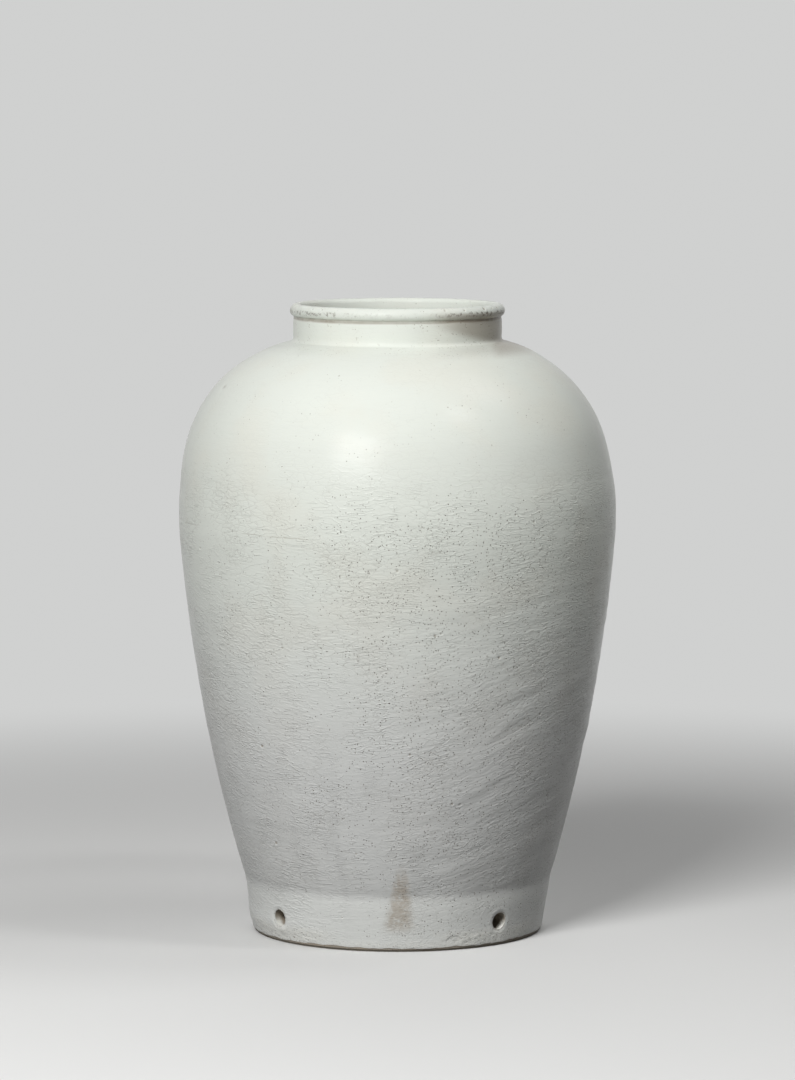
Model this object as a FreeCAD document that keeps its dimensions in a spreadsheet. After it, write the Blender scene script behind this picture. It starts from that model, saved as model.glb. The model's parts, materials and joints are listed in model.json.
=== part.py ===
import FreeCAD, Part
import math
import os
import Sketcher

# A high-fired jar with a broad shoulder and a short wide neck, thrown in sections and luted.
# The axis is +Z and the origin is the centre of the foot, on the plane that it stands on.
# Millimetres and degrees.

size_rows = [
    # foot ring and floor
    ("foot_radius", 101.0, "clay outside of the foot ring, at the top of its bevel"),
    ("foot_bevel", 1.6, "bevel on both edges of the standing band"),
    ("foot_wall", 11.0, "thickness of the foot ring at its foot"),
    ("recess_depth", 29.0, "from the standing plane up to the ledge that carries the floor"),
    ("foot_rim", 10.5, "height of the ring above that ledge"),
    ("floor_seat", 7.5, "width of the ledge"),
    ("floor_thickness", 13.0, "from the ledge up to the clay inside"),
    ("floor_cove", 9.0, "radius where the floor turns up into the wall"),
    # tie holes through the foot ring
    ("tie_hole_radius", 6.0, "four pierced holes in two lines across the foot"),
    ("tie_hole_drop", 11.5, "from the ledge down to the holes' axis"),
    ("first_tie_angle", 218.5, "direction of the first line of holes, from +X"),
    ("second_tie_angle", 312.5, "direction of the second line of holes, from +X"),
    # body, on its clay surface
    ("seam_radius", 107.0, "top of the foot ring, where the body starts"),
    ("belly_height", 293.0, "height of the widest line"),
    ("belly_radius", 152.15, "radius at the widest line"),
    ("belly_curve", 191.8, "radius of the belly's own arc"),
    ("side_curve", 1171.5, "radius of the long arc from the foot ring up to the belly"),
    ("shoulder_curve", 97.5, "radius of the shoulder's arc"),
    ("shoulder_height", 120.7, "from the widest line up to the root of the neck"),
    ("base_wall", 8.5, "thickness of the body where it starts"),
    ("belly_wall", 8.0, "thickness at the widest line"),
    ("shoulder_wall", 7.0, "thickness at the root of the neck"),
    # neck and rolled lip
    ("neck_radius", 72.1, "clay outside of the neck"),
    ("neck_height", 25.7, "from the root of the neck to the top of the lip"),
    ("neck_wall", 4.5, "thickness of the neck"),
    ("neck_cove", 3.0, "radius in the corner between shoulder and neck"),
    ("mouth_round", 1.2, "radius on the clay inside, where the shoulder turns up into the neck"),
    ("lip_roll", 4.15, "radius of the rolled lip"),
    ("lip_overhang", 2.2, "how far the lip stands out from the neck"),
    # joints and glaze
    ("slip", 0.8, "thickness of the slip in a luted joint"),
    ("seat_angle", 25.0, "slope of the bevelled seats, falling inwards"),
    ("belly_seam_drop", 7.0, "from the widest line down to the seam between the two bowls"),
    ("glaze", 0.6, "thickness of the glaze"),
    ("glaze_line", 4.0, "height of the bare clay above the standing plane"),
    ("overrun", 20.0, "how far a cutting shape runs past what it cuts"),
]

doc = FreeCAD.newDocument("meiping_vase")
sheet = doc.addObject("Spreadsheet::Sheet", "Sizes")
for row, (alias, value, note) in enumerate(size_rows, start=1):
    sheet.set(f"A{row}", alias)
    sheet.set(f"B{row}", str(value))
    sheet.set(f"C{row}", note)
    sheet.setAlias(f"B{row}", alias)
doc.recompute()

# heights and radii that several pieces share, as expressions on the sheet
belly_height = "Sizes.belly_height"
root_height = "(Sizes.belly_height + Sizes.shoulder_height)"
crest_height = "(Sizes.belly_height + Sizes.shoulder_height + Sizes.neck_height)"
above_crest = f"({crest_height} + Sizes.overrun)"
ring_height = "(Sizes.recess_depth + Sizes.foot_rim)"
floor_height = "(Sizes.recess_depth + Sizes.floor_thickness)"
belly_seam_height = "(Sizes.belly_height - Sizes.belly_seam_drop)"
neck_seam_height = f"({root_height} - Sizes.shoulder_wall / 2)"
tie_height = "(Sizes.recess_depth - Sizes.tie_hole_drop)"
recess_radius = "(Sizes.foot_radius - Sizes.foot_wall)"
floor_bed_radius = f"({recess_radius} + Sizes.floor_seat)"
mouth_radius = "(Sizes.neck_radius - Sizes.neck_wall)"
lip_centre_radius = "(Sizes.neck_radius + Sizes.lip_overhang - Sizes.lip_roll)"
lip_centre_height = f"({crest_height} - Sizes.lip_roll)"
inner_lip_height = f"({crest_height} - {lip_centre_radius} + {mouth_radius})"
reach = "(Sizes.belly_radius + Sizes.overrun)"


def number(expression):
    return float(sheet.evalExpression(str(expression)))


def point_at(place):
    return FreeCAD.Vector(number(place[0]), number(place[1]), 0)


# Outlines are drawn in the XZ plane of a body of their own, radius across and height up,
# with every corner and arc centre bound to the sheet, and are turned about Z.

class Outline:
    def __init__(self, name):
        self.body = doc.addObject("PartDesign::Body", name)
        self.sketch = self.body.newObject("Sketcher::SketchObject", name + "_outline")
        planes = [f for f in self.body.Origin.OriginFeatures if f.Role == "XZ_Plane"]
        self.sketch.AttachmentSupport = (planes[0], [""])
        self.sketch.MapMode = "FlatFace"
        self.edges = []
        self.smooth = set()

    def bind(self, kind, geometry, corner, expression):
        value = number(expression)
        if kind == "Radius":
            constraint = Sketcher.Constraint(kind, geometry, value)
        else:
            constraint = Sketcher.Constraint(kind, -1, 1, geometry, corner, value)
        index = self.sketch.addConstraint(constraint)
        self.sketch.setExpression(f"Constraints[{index}]", str(expression))

    def pin(self, geometry, corner, place):
        self.bind("DistanceX", geometry, corner, place[0])
        self.bind("DistanceY", geometry, corner, place[1])

    def line(self, start, end):
        segment = Part.LineSegment(point_at(start), point_at(end))
        index = self.sketch.addGeometry(segment, False)
        self.edges.append((index, 1, 2))
        return index

    # an arc's own start is the end that its counter-clockwise turn begins at
    def arc(self, start, end, centre):
        radius = (start - centre).Length
        turn = (start - centre).cross(end - centre).z
        first, last = (start, end) if turn > 0 else (end, start)
        angles = [math.atan2(p.y - centre.y, p.x - centre.x) for p in (first, last)]
        circle = Part.Circle(centre, FreeCAD.Vector(0, 0, 1), radius)
        index = self.sketch.addGeometry(Part.ArcOfCircle(circle, *angles), False)
        self.edges.append((index, 1, 2) if turn > 0 else (index, 2, 1))
        return index

    # edges that run into each other smoothly need a tangent alone, which joins them as well
    def close(self):
        following = self.edges[1:] + self.edges[:1]
        for (before, _, end), (after, start, _) in zip(self.edges, following):
            kind = "Tangent" if before in self.smooth else "Coincident"
            self.sketch.addConstraint(Sketcher.Constraint(kind, before, end, after, start))

    def turn(self):
        revolution = self.body.newObject("PartDesign::Revolution", self.body.Name + "_turned")
        revolution.Profile = self.sketch
        revolution.ReferenceAxis = (self.sketch, ["V_Axis"])
        revolution.Angle = 360.0
        self.body.Tip = revolution
        doc.recompute()
        return self.body


def turned_polygon(name, corners):
    outline = Outline(name)
    for start, end in zip(corners, corners[1:] + corners[:1]):
        line = outline.line(start, end)
        outline.pin(line, 1, start)
    outline.close()
    return outline.turn()


def meeting_angle(end, belly_centre, belly_curve, curve, turn):
    """Where on the belly's circle an arc of another radius leaves it smoothly to reach an end."""
    offset = end - belly_centre
    spread = belly_curve - curve
    along = (offset.dot(offset) + spread**2 - curve**2) / (2 * spread)
    return math.atan2(offset.y, offset.x) + turn * math.acos(along / offset.Length)


def add_body_arcs(outline, side_end, root, growth):
    """The side, the belly and the shoulder, as three arcs that run into each other."""
    centre_place = ("Sizes.belly_radius - Sizes.belly_curve", belly_height)
    side_curve = f"Sizes.side_curve + {growth}"
    belly_curve = f"Sizes.belly_curve + {growth}"
    shoulder_curve = f"Sizes.shoulder_curve + {growth}"
    centre = point_at(centre_place)

    def meeting(end, curve, turn):
        angle = meeting_angle(point_at(end), centre, number(belly_curve), number(curve), turn)
        outward = FreeCAD.Vector(math.cos(angle), math.sin(angle), 0)
        arc_centre = centre + outward * (number(belly_curve) - number(curve))
        return centre + outward * number(belly_curve), arc_centre

    lower, side_centre = meeting(side_end, side_curve, 1)
    upper, shoulder_centre = meeting(root, shoulder_curve, -1)
    side = outline.arc(point_at(side_end), lower, side_centre)
    belly = outline.arc(lower, upper, centre)
    shoulder = outline.arc(upper, point_at(root), shoulder_centre)
    outline.pin(side, outline.edges[side][1], side_end)
    outline.bind("Radius", side, None, side_curve)
    outline.pin(belly, 3, centre_place)
    outline.bind("Radius", belly, None, belly_curve)
    outline.pin(shoulder, outline.edges[shoulder][2], root)
    outline.bind("Radius", shoulder, None, shoulder_curve)
    outline.smooth |= {side, belly}


def soften(body, name, place, radius):
    """A fillet on the ring edge of a turned body that runs through one place."""
    base = body.Tip
    wanted = FreeCAD.Vector(number(place[0]), 0, number(place[1]))
    gaps = [edge.distToShape(Part.Vertex(wanted))[0] for edge in base.Shape.Edges]
    rings = [i for i, edge in enumerate(base.Shape.Edges) if edge.isClosed()]
    nearest = min(rings, key=lambda i: gaps[i])
    feature = body.newObject("PartDesign::Fillet", name)
    feature.Base = (base, [f"Edge{nearest + 1}"])
    feature.setExpression("Radius", radius)
    body.Tip = feature
    doc.recompute()
    return body


def outside_form(name, coat):
    """Everything inside the outer surface, from the standing plane to the top of the lip."""
    outline = Outline(name)
    ground = ("0", "0")
    foot = (f"Sizes.foot_radius - Sizes.foot_bevel + {coat}", "0")
    bevel_top = (f"Sizes.foot_radius + {coat}", "Sizes.foot_bevel")
    seam = (f"Sizes.seam_radius + {coat}", ring_height)
    root = (f"Sizes.neck_radius + {coat}", f"{root_height} + {coat}")
    roll = f"Sizes.lip_roll + {coat}"
    lip_reach = f"sqrt(({roll})^2 - (Sizes.lip_roll - Sizes.lip_overhang)^2)"
    under_lip = (root[0], f"{lip_centre_height} - {lip_reach}")
    lip_centre = (lip_centre_radius, lip_centre_height)
    crest = (lip_centre_radius, f"{crest_height} + {coat}")
    axis_top = ("0", crest[1])
    outline.line(ground, foot)
    outline.line(foot, bevel_top)
    outline.line(bevel_top, seam)
    add_body_arcs(outline, seam, root, coat)
    neck = outline.line(root, under_lip)
    lip = outline.arc(point_at(under_lip), point_at(crest), point_at(lip_centre))
    top = outline.line(crest, axis_top)
    axis = outline.line(axis_top, ground)
    outline.pin(0, 1, ground)
    outline.pin(1, 1, foot)
    outline.pin(2, 1, bevel_top)
    outline.pin(axis, 1, axis_top)
    outline.pin(lip, 3, lip_centre)
    outline.bind("DistanceX", neck, 2, under_lip[0])
    outline.bind("Radius", lip, None, roll)
    outline.bind("DistanceX", top, 1, crest[0])
    outline.close()
    body = outline.turn()
    return soften(body, name + "_neck_cove", root, "Sizes.neck_cove")


def inside_form(name, coat):
    """Everything inside the inner surface, open upwards through the mouth."""
    outline = Outline(name)
    centre = ("0", f"{floor_height} + {coat}")
    wall_foot = (f"Sizes.seam_radius - Sizes.base_wall - {coat}", centre[1])
    bore = f"{mouth_radius} - {coat}"
    root = (bore, f"{root_height} - Sizes.shoulder_wall - {coat}")
    lip_start = (bore, inner_lip_height)
    lip_centre = (lip_centre_radius, inner_lip_height)
    crest = (lip_centre_radius, f"{crest_height} + {coat}")
    mouth_edge = (lip_centre_radius, above_crest)
    axis_top = ("0", above_crest)
    outline.line(centre, wall_foot)
    add_body_arcs(outline, wall_foot, root, f"(0 - Sizes.belly_wall - {coat})")
    neck = outline.line(root, lip_start)
    lip = outline.arc(point_at(lip_start), point_at(crest), point_at(lip_centre))
    rise = outline.line(crest, mouth_edge)
    top = outline.line(mouth_edge, axis_top)
    axis = outline.line(axis_top, centre)
    outline.pin(0, 1, centre)
    outline.pin(top, 1, mouth_edge)
    outline.pin(axis, 1, axis_top)
    outline.pin(lip, 3, lip_centre)
    outline.bind("DistanceX", neck, 2, bore)
    outline.bind("DistanceY", neck, 2, inner_lip_height)
    outline.bind("DistanceX", rise, 1, crest[0])
    outline.close()
    body = outline.turn()
    soften(body, name + "_floor_cove", wall_foot, f"Sizes.floor_cove - {coat}")
    return soften(body, name + "_mouth_round", root, f"Sizes.mouth_round + {coat}")


clay_outside = outside_form("clay_outside", "0")
glazed_outside = outside_form("glazed_outside", "Sizes.glaze")
clay_inside = inside_form("clay_inside", "0")
glazed_inside = inside_form("glazed_inside", "Sizes.glaze")

# the hollow under the floor, up to the floor's bare underside, bevelled where the foot stands
foot_hollow = turned_polygon("foot_hollow", [
    ("0", "0 - Sizes.overrun"),
    (f"{recess_radius} + Sizes.foot_bevel + Sizes.overrun", "0 - Sizes.overrun"),
    (recess_radius, "Sizes.foot_bevel"),
    (recess_radius, "Sizes.recess_depth + Sizes.slip"),
    ("0", "Sizes.recess_depth + Sizes.slip"),
])

# Each joint has a bevelled seat that falls inwards. A seat shape is everything above the seat,
# and what lies between a seat and the same seat raised by the slip is the slip of the joint.

def seat(name, radius, height):
    drop = f"({radius}) * tan(Sizes.seat_angle)"
    rim = f"{height} + ({reach} - {radius}) * tan(Sizes.seat_angle)"
    top = f"{rim} + {crest_height}"
    corners = [("0", f"{height} - {drop}"), (reach, rim), (reach, top), ("0", top)]
    return turned_polygon(name, corners)


def seat_pair(name, radius, height):
    return seat(name, radius, height), seat(name + "_raised", radius, f"{height} + Sizes.slip")


foot_seat, foot_seat_raised = seat_pair("foot_seat", "Sizes.seam_radius", ring_height)
belly_seat, belly_seat_raised = seat_pair("belly_seat", "Sizes.belly_radius", belly_seam_height)
neck_seat, neck_seat_raised = seat_pair("neck_seat", "Sizes.neck_radius", neck_seam_height)


def disc(name, radius, bottom, thickness):
    cylinder = doc.addObject("Part::Cylinder", name)
    cylinder.setExpression("Radius", radius)
    cylinder.setExpression("Height", thickness)
    cylinder.setExpression("Placement.Base.z", bottom)
    return cylinder


# the bed is the floor with its slip, the blank is the floor alone
bed_height = "Sizes.floor_thickness + Sizes.floor_cove"
floor_bed = disc("floor_bed", floor_bed_radius, "Sizes.recess_depth", bed_height)
floor_blank = disc(
    "floor_blank",
    f"{floor_bed_radius} - Sizes.slip",
    "Sizes.recess_depth + Sizes.slip",
    f"{bed_height} - Sizes.slip",
)
bare_band = disc("bare_band", reach, "0 - Sizes.overrun", "Sizes.overrun + Sizes.glaze_line")


def tie_drill(name, angle):
    """One line across the foot, which pierces two holes opposite each other."""
    drill = doc.addObject("Part::Cylinder", name)
    drill.setExpression("Radius", "Sizes.tie_hole_radius")
    drill.setExpression("Height", f"2 * {reach}")
    drill.setExpression("Placement.Rotation.Axis.x", f"0 - sin({angle})")
    drill.setExpression("Placement.Rotation.Axis.y", f"cos({angle})")
    drill.setExpression("Placement.Rotation.Axis.z", "0")
    drill.setExpression("Placement.Rotation.Angle", "90")
    drill.setExpression("Placement.Base.x", f"0 - {reach} * cos({angle})")
    drill.setExpression("Placement.Base.y", f"0 - {reach} * sin({angle})")
    drill.setExpression("Placement.Base.z", tie_height)
    return drill


first_drill = tie_drill("first_drill", "Sizes.first_tie_angle")
second_drill = tie_drill("second_drill", "Sizes.second_tie_angle")


def join(kind, name, base, tool):
    result = doc.addObject(f"Part::{kind}", name)
    result.Base = base
    result.Tool = tool
    return result


def cut(name, base, *tools):
    for step, tool in enumerate(tools[:-1], start=1):
        base = join("Cut", f"{name}_step_{step}", base, tool)
    return join("Cut", name, base, tools[-1])


def common(name, base, tool):
    return join("Common", name, base, tool)


# all the clay, and the clay round the floor's bed
clay = cut("clay", clay_outside, clay_inside, foot_hollow)
wall = cut("wall", clay, floor_bed)

floor_slab = common("floor_slab", clay, floor_blank)
floor_slip = cut("floor_slip", common("floor_and_slip", clay, floor_bed), floor_blank)
foot_ring = cut("foot_ring", wall, foot_seat, first_drill, second_drill)
foot_slip = cut("foot_slip", common("above_foot", wall, foot_seat), foot_seat_raised)
lower_body = cut("lower_body", common("body_clay", wall, foot_seat_raised), belly_seat)
belly_slip = cut("belly_slip", common("above_belly", wall, belly_seat), belly_seat_raised)
upper_body = cut("upper_body", common("upper_clay", wall, belly_seat_raised), neck_seat)
neck_slip = cut("neck_slip", common("above_shoulder", wall, neck_seat), neck_seat_raised)
neck_collar = common("neck_collar", wall, neck_seat_raised)
outer_glaze = cut(
    "outer_glaze",
    glazed_outside,
    clay_outside,
    clay_inside,
    bare_band,
    first_drill,
    second_drill,
)
inner_glaze = cut("inner_glaze", clay_inside, glazed_inside)

pieces = [
    foot_ring,
    floor_slab,
    floor_slip,
    foot_slip,
    lower_body,
    belly_slip,
    upper_body,
    neck_slip,
    neck_collar,
    outer_glaze,
    inner_glaze,
]

doc.recompute()
failed = [o.Label for o in doc.Objects if {"Invalid", "Error"} & set(o.State)]
if failed:
    raise RuntimeError("these objects failed: " + ", ".join(failed))
for piece in pieces:
    if piece.Shape.isNull() or not piece.Shape.isValid() or not piece.Shape.Solids:
        raise RuntimeError(piece.Label + " has no valid solid")

os.makedirs("parts", exist_ok=True)
for piece in pieces:
    piece.Shape.exportStep(f"parts/{piece.Label}.step")
    print(f"{piece.Label}: {len(piece.Shape.Solids)} solid, {piece.Shape.Volume / 1000:.1f} cm3")
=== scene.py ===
import json
import math

import bmesh
import bpy
from mathutils import Matrix, Vector, noise
from mathutils.kdtree import KDTree


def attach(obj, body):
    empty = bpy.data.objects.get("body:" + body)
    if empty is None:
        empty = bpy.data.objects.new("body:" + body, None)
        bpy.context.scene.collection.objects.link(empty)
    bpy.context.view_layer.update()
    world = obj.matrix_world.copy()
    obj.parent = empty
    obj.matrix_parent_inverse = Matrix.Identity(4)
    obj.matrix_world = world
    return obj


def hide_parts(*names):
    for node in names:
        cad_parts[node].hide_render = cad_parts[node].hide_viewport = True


# Looks of a white crackled storage jar, built round its clay sections.
# Metres, Z up through the mouth, the viewer of the photograph on the -Y side.

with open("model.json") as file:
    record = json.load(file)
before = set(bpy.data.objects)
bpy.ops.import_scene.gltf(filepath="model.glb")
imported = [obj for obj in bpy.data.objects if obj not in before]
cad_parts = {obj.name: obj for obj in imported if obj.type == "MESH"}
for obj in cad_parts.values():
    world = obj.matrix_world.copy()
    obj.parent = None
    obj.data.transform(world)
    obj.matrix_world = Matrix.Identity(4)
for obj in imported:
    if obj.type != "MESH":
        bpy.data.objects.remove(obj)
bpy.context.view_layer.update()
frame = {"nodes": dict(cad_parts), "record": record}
mounts = {mount["name"]: mount for mount in frame["record"]["mounts"]}
mm = 0.001
smoothAngle = math.radians(40)  # edges that turn further than this stay sharp
print("frame loaded with", len(frame["nodes"]), "nodes")

# camera, as it stood for the photograph

shot = {
    "place": (0, -3.683, 0.643),
    "tilt": 84.28,  # degrees up from straight down
    "lens": 176.3,
    "filmBack": 36,
    "imageWidth": 795,
    "imageHeight": 1080,
    "nearest": 0.1,
    "farthest": 60,
}


def addCamera():
    data = bpy.data.cameras.new("photoCamera")
    data.lens = shot["lens"]
    data.sensor_width = shot["filmBack"]
    data.clip_start = shot["nearest"]
    data.clip_end = shot["farthest"]
    camera = bpy.data.objects.new("photoCamera", data)
    camera.location = shot["place"]
    camera.rotation_euler = (math.radians(shot["tilt"]), 0, 0)
    bpy.context.scene.collection.objects.link(camera)
    bpy.context.scene.camera = camera


def sightLine(across, down):
    # direction from the camera through a place in the photograph, in its pixels
    scale = shot["filmBack"] / shot["lens"] / shot["imageHeight"]
    right = (across - shot["imageWidth"] / 2) * scale
    up = (shot["imageHeight"] / 2 - down) * scale
    aim = Vector((right, up, -1))
    aim.rotate(Matrix.Rotation(math.radians(shot["tilt"]), 3, "X"))
    return aim.normalized()


addCamera()
print("camera placed")

# small helpers for modelling


def deselectAll():
    if bpy.context.object and bpy.context.object.mode != "OBJECT":
        bpy.ops.object.mode_set(mode="OBJECT")
    bpy.ops.object.select_all(action="DESELECT")


def chooseOnly(piece):
    deselectAll()
    piece.select_set(True)
    bpy.context.view_layer.objects.active = piece


def selectFaces(piece, wanted):
    # edit mode must be on
    bpy.ops.mesh.select_mode(type="FACE")
    bpy.ops.mesh.select_all(action="DESELECT")
    work = bmesh.from_edit_mesh(piece.data)
    for face in work.faces:
        if wanted(face):
            face.select_set(True)
    bmesh.update_edit_mesh(piece.data)


def arcPoints(centre, radius, start, end, spacing):
    steps = max(2, round(abs(end - start) * radius / spacing))
    angles = [start + (end - start) * step / steps for step in range(steps + 1)]
    return [centre + radius * Vector((math.cos(a), math.sin(a))) for a in angles]


def linePoints(start, end, spacing):
    steps = max(1, round((end - start).length / spacing))
    return [start.lerp(end, step / steps) for step in range(steps + 1)]


def angleFrom(centre, point):
    return math.atan2(point.y - centre.y, point.x - centre.x)


def joined(*stretches):
    points = []
    for stretch in stretches:
        points += [p for p in stretch if not points or (p - points[-1]).length > 0.02 * mm]
    return points


def spinOutline(name, points, steps):
    # a closed outline in the XZ plane, drawn point by point and turned about Z
    deselectAll()
    bpy.ops.mesh.primitive_plane_add(size=mm, location=(points[0].x, 0, points[0].y))
    piece = bpy.context.object
    piece.name = name
    bpy.ops.object.transform_apply(location=True, rotation=True, scale=True)
    bpy.ops.object.mode_set(mode="EDIT")
    bpy.ops.mesh.select_mode(type="VERT")
    bpy.ops.mesh.select_all(action="SELECT")
    bpy.ops.mesh.merge(type="CENTER")
    for here, there in zip(points, points[1:]):
        step = there - here
        bpy.ops.mesh.extrude_vertices_move(TRANSFORM_OT_translate={"value": (step.x, 0, step.y)})
    bpy.ops.mesh.select_all(action="SELECT")
    bpy.ops.mesh.spin(steps=steps, angle=2 * math.pi, center=(0, 0, 0), axis=(0, 0, 1))
    bpy.ops.mesh.select_all(action="SELECT")
    bpy.ops.mesh.remove_doubles(threshold=0.01 * mm)
    bpy.ops.mesh.normals_make_consistent(inside=False)
    bpy.ops.object.mode_set(mode="OBJECT")
    return piece


def markSkin(piece, skinPoints, hiddenPoints):
    # 1 on the face that is seen and 0 on the face against the clay
    rows = KDTree(len(skinPoints) + len(hiddenPoints))
    for index, point in enumerate(skinPoints + hiddenPoints):
        rows.insert((point.x, point.y, 0), index)
    rows.balance()
    skin = piece.data.attributes.new("skin", "FLOAT", "POINT")
    for vertex in piece.data.vertices:
        index = rows.find((math.hypot(vertex.co.x, vertex.co.y), vertex.co.z, 0))[1]
        skin.data[vertex.index].value = 1.0 if index < len(skinPoints) else 0.0


def clamp(value, low=0.0, high=1.0):
    return max(low, min(high, value))


def ease(value, low, high):
    share = clamp((value - low) / (high - low))
    return share * share * (3 - 2 * share)


def hump(value, centre, width):
    # 1 at the centre, falling off smoothly to both sides
    return math.exp(-(((value - centre) / width) ** 2))


def grain(place, wide, high, seed):
    # smooth noise from -1 to 1, in lumps of a given width and height
    x, y, z = place.x / wide, place.y / wide, place.z / high
    return noise.noise(Vector((x + seed, y - seed, z + seed)))


def bearingOf(place):
    # angle round the jar, 0 at the viewer and growing to the right
    return math.atan2(place.x, -place.y)


# outline of the jar, on the glazed surface

form = {
    "glaze": 0.6 * mm,
    "footRadius": 101.6 * mm,
    "creaseRadius": 107.6 * mm,
    "creaseHeight": 39.5 * mm,
    "bellyRadius": 152.75 * mm,
    "bellyHeight": 293 * mm,
    "bellyCurve": 192.4 * mm,
    "bellySeam": 286.2 * mm,
    "bellySeamTilt": 5.2 * mm,
    "sideCurve": 1172.1 * mm,
    "shoulderCurve": 98.1 * mm,
    "rootRadius": 72.7 * mm,
    "rootHeight": 414.3 * mm,
    "neckCove": 3 * mm,
    "lipRoll": 4.75 * mm,
    "lipRadius": 70.15 * mm,
    "lipHeight": 435.25 * mm,
    "mouthRadius": 67 * mm,
    "mouthRoll": 3.15 * mm,
    "wall": 8 * mm,
    "floorHeight": 42.6 * mm,
    "floorRadius": 97.9 * mm,
    "floorCove": 8.4 * mm,
    "innerRootHeight": 406.1 * mm,
    "innerRound": 1.8 * mm,
}


def meetingAngle(end, centre, curve, otherCurve, turn):
    # where an arc of another radius leaves the belly's circle to reach an end
    offset = end - centre
    spread = curve - otherCurve
    along = (offset.dot(offset) + spread**2 - otherCurve**2) / (2 * spread)
    return math.atan2(offset.y, offset.x) + turn * math.acos(along / offset.length)


def bodyArcs(foot, root, growth, spacing, rootTrim):
    # side, belly and shoulder as three arcs that run into each other
    centre = Vector((form["bellyRadius"] - form["bellyCurve"], form["bellyHeight"]))
    curve = form["bellyCurve"] + growth
    side = form["sideCurve"] + growth
    shoulder = form["shoulderCurve"] + growth
    lower = meetingAngle(foot, centre, curve, side, 1)
    upper = meetingAngle(root, centre, curve, shoulder, -1)
    sideCentre = centre + (curve - side) * Vector((math.cos(lower), math.sin(lower)))
    topCentre = centre + (curve - shoulder) * Vector((math.cos(upper), math.sin(upper)))
    end = rootTrim(topCentre, shoulder)
    return sideCentre, topCentre, joined(
        arcPoints(sideCentre, side, angleFrom(sideCentre, foot), lower, spacing),
        arcPoints(centre, curve, lower, upper, spacing * 0.75),
        arcPoints(topCentre, shoulder, upper, end, spacing),
    )


# white glaze outside, from the foot over the lip

outerGlaze = {
    "steps": 224,
    "rowSpacing": 2.2 * mm,
    "hiddenRows": 4.5,  # times as far apart, on the side against the clay
    "thickness": 0.5 * mm,
    "insideEnd": 431 * mm,
    "top": 440 * mm,
    "hiddenTop": 439.7 * mm,
    "reach": 152.65 * mm,
    "leastShift": -0.42 * mm,
    "greatestShift": 1.6 * mm,
    # heights and depths of the marks of throwing, wiping, wear and firing
    "edgeHeight": 2.6 * mm,
    "edgeWave": 1.0 * mm,
    "ridge": 0.32 * mm,
    "swell": 0.24 * mm,
    "lean": 1.4 * mm,
    "crease": 0.20 * mm,
    "creaseSag": 2.0 * mm,
    "bellySeam": 0.05 * mm,
    "neckRings": 0.10 * mm,
    "lipGroove": 0.34 * mm,
    "lipWear": 0.14 * mm,
    "footGrit": 0.20 * mm,
    "fullFoot": 1.1 * mm,
    "drawnFoot": 0.35 * mm,
    "holeRound": 0.42 * mm,
    "holeRim": 0.16 * mm,
    # how far finer faces reach past a mark
    "pitMargin": 2.0 * mm,
    "holeMargin": 6 * mm,
    "flakeMargin": 8 * mm,
}


def coatOutline(depth, spacing):
    # from the foot edge up over the lip and down into the mouth, at a depth under the surface
    low = outerGlaze["edgeHeight"] + outerGlaze["thickness"] / 2
    foot = Vector((form["footRadius"] - depth, low))
    crease = Vector((form["creaseRadius"] - depth, form["creaseHeight"]))
    root = Vector((form["rootRadius"] - depth, form["rootHeight"] - depth))
    cove = form["neckCove"] + depth
    coveRadius = root.x + cove

    def meetCove(topCentre, shoulder):
        height = math.sqrt((shoulder + cove) ** 2 - (coveRadius - topCentre.x) ** 2)
        return math.atan2(height, coveRadius - topCentre.x)

    _, topCentre, body = bodyArcs(crease, root, -depth, spacing, meetCove)
    coveAngle = angleFrom(topCentre, body[-1])
    coveCentre = body[-1] + cove * Vector((math.cos(coveAngle), math.sin(coveAngle)))
    lipCentre = Vector((form["lipRadius"], form["lipHeight"]))
    roll = form["lipRoll"] - depth
    underLip = -math.acos((root.x - lipCentre.x) / roll)
    mouthHeight = form["lipHeight"] + form["lipRoll"] - form["mouthRoll"]
    mouthCentre = Vector((form["lipRadius"], mouthHeight))
    mouth = Vector((form["mouthRadius"] + depth, mouthHeight))
    neckTop = lipCentre + roll * Vector((math.cos(underLip), math.sin(underLip)))
    fine = min(spacing, 3 * mm) * 0.4  # along the tight rolls of neck and lip
    return joined(
        linePoints(foot, crease, spacing * 0.75),
        body,
        arcPoints(coveCentre, cove, coveAngle + math.pi, math.pi, fine),
        linePoints(Vector((root.x, coveCentre.y)), neckTop, spacing * 0.6),
        arcPoints(lipCentre, roll, underLip, math.pi / 2, fine),
        arcPoints(mouthCentre, form["mouthRoll"] - depth, math.pi / 2, math.pi, fine),
        linePoints(mouth, Vector((mouth.x, outerGlaze["insideEnd"])), spacing),
    )


def roundEnd(start, end, side):
    # half a circle from one face of the coat to the other
    middle = (start + end) / 2
    radius = (start - end).length / 2
    first = angleFrom(middle, start)
    return arcPoints(middle, radius, first, first + side * math.pi, radius * math.pi / 4)[1:-1]


# marks on the glaze: place in the photograph in its pixels, radius and depth in millimetres

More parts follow.
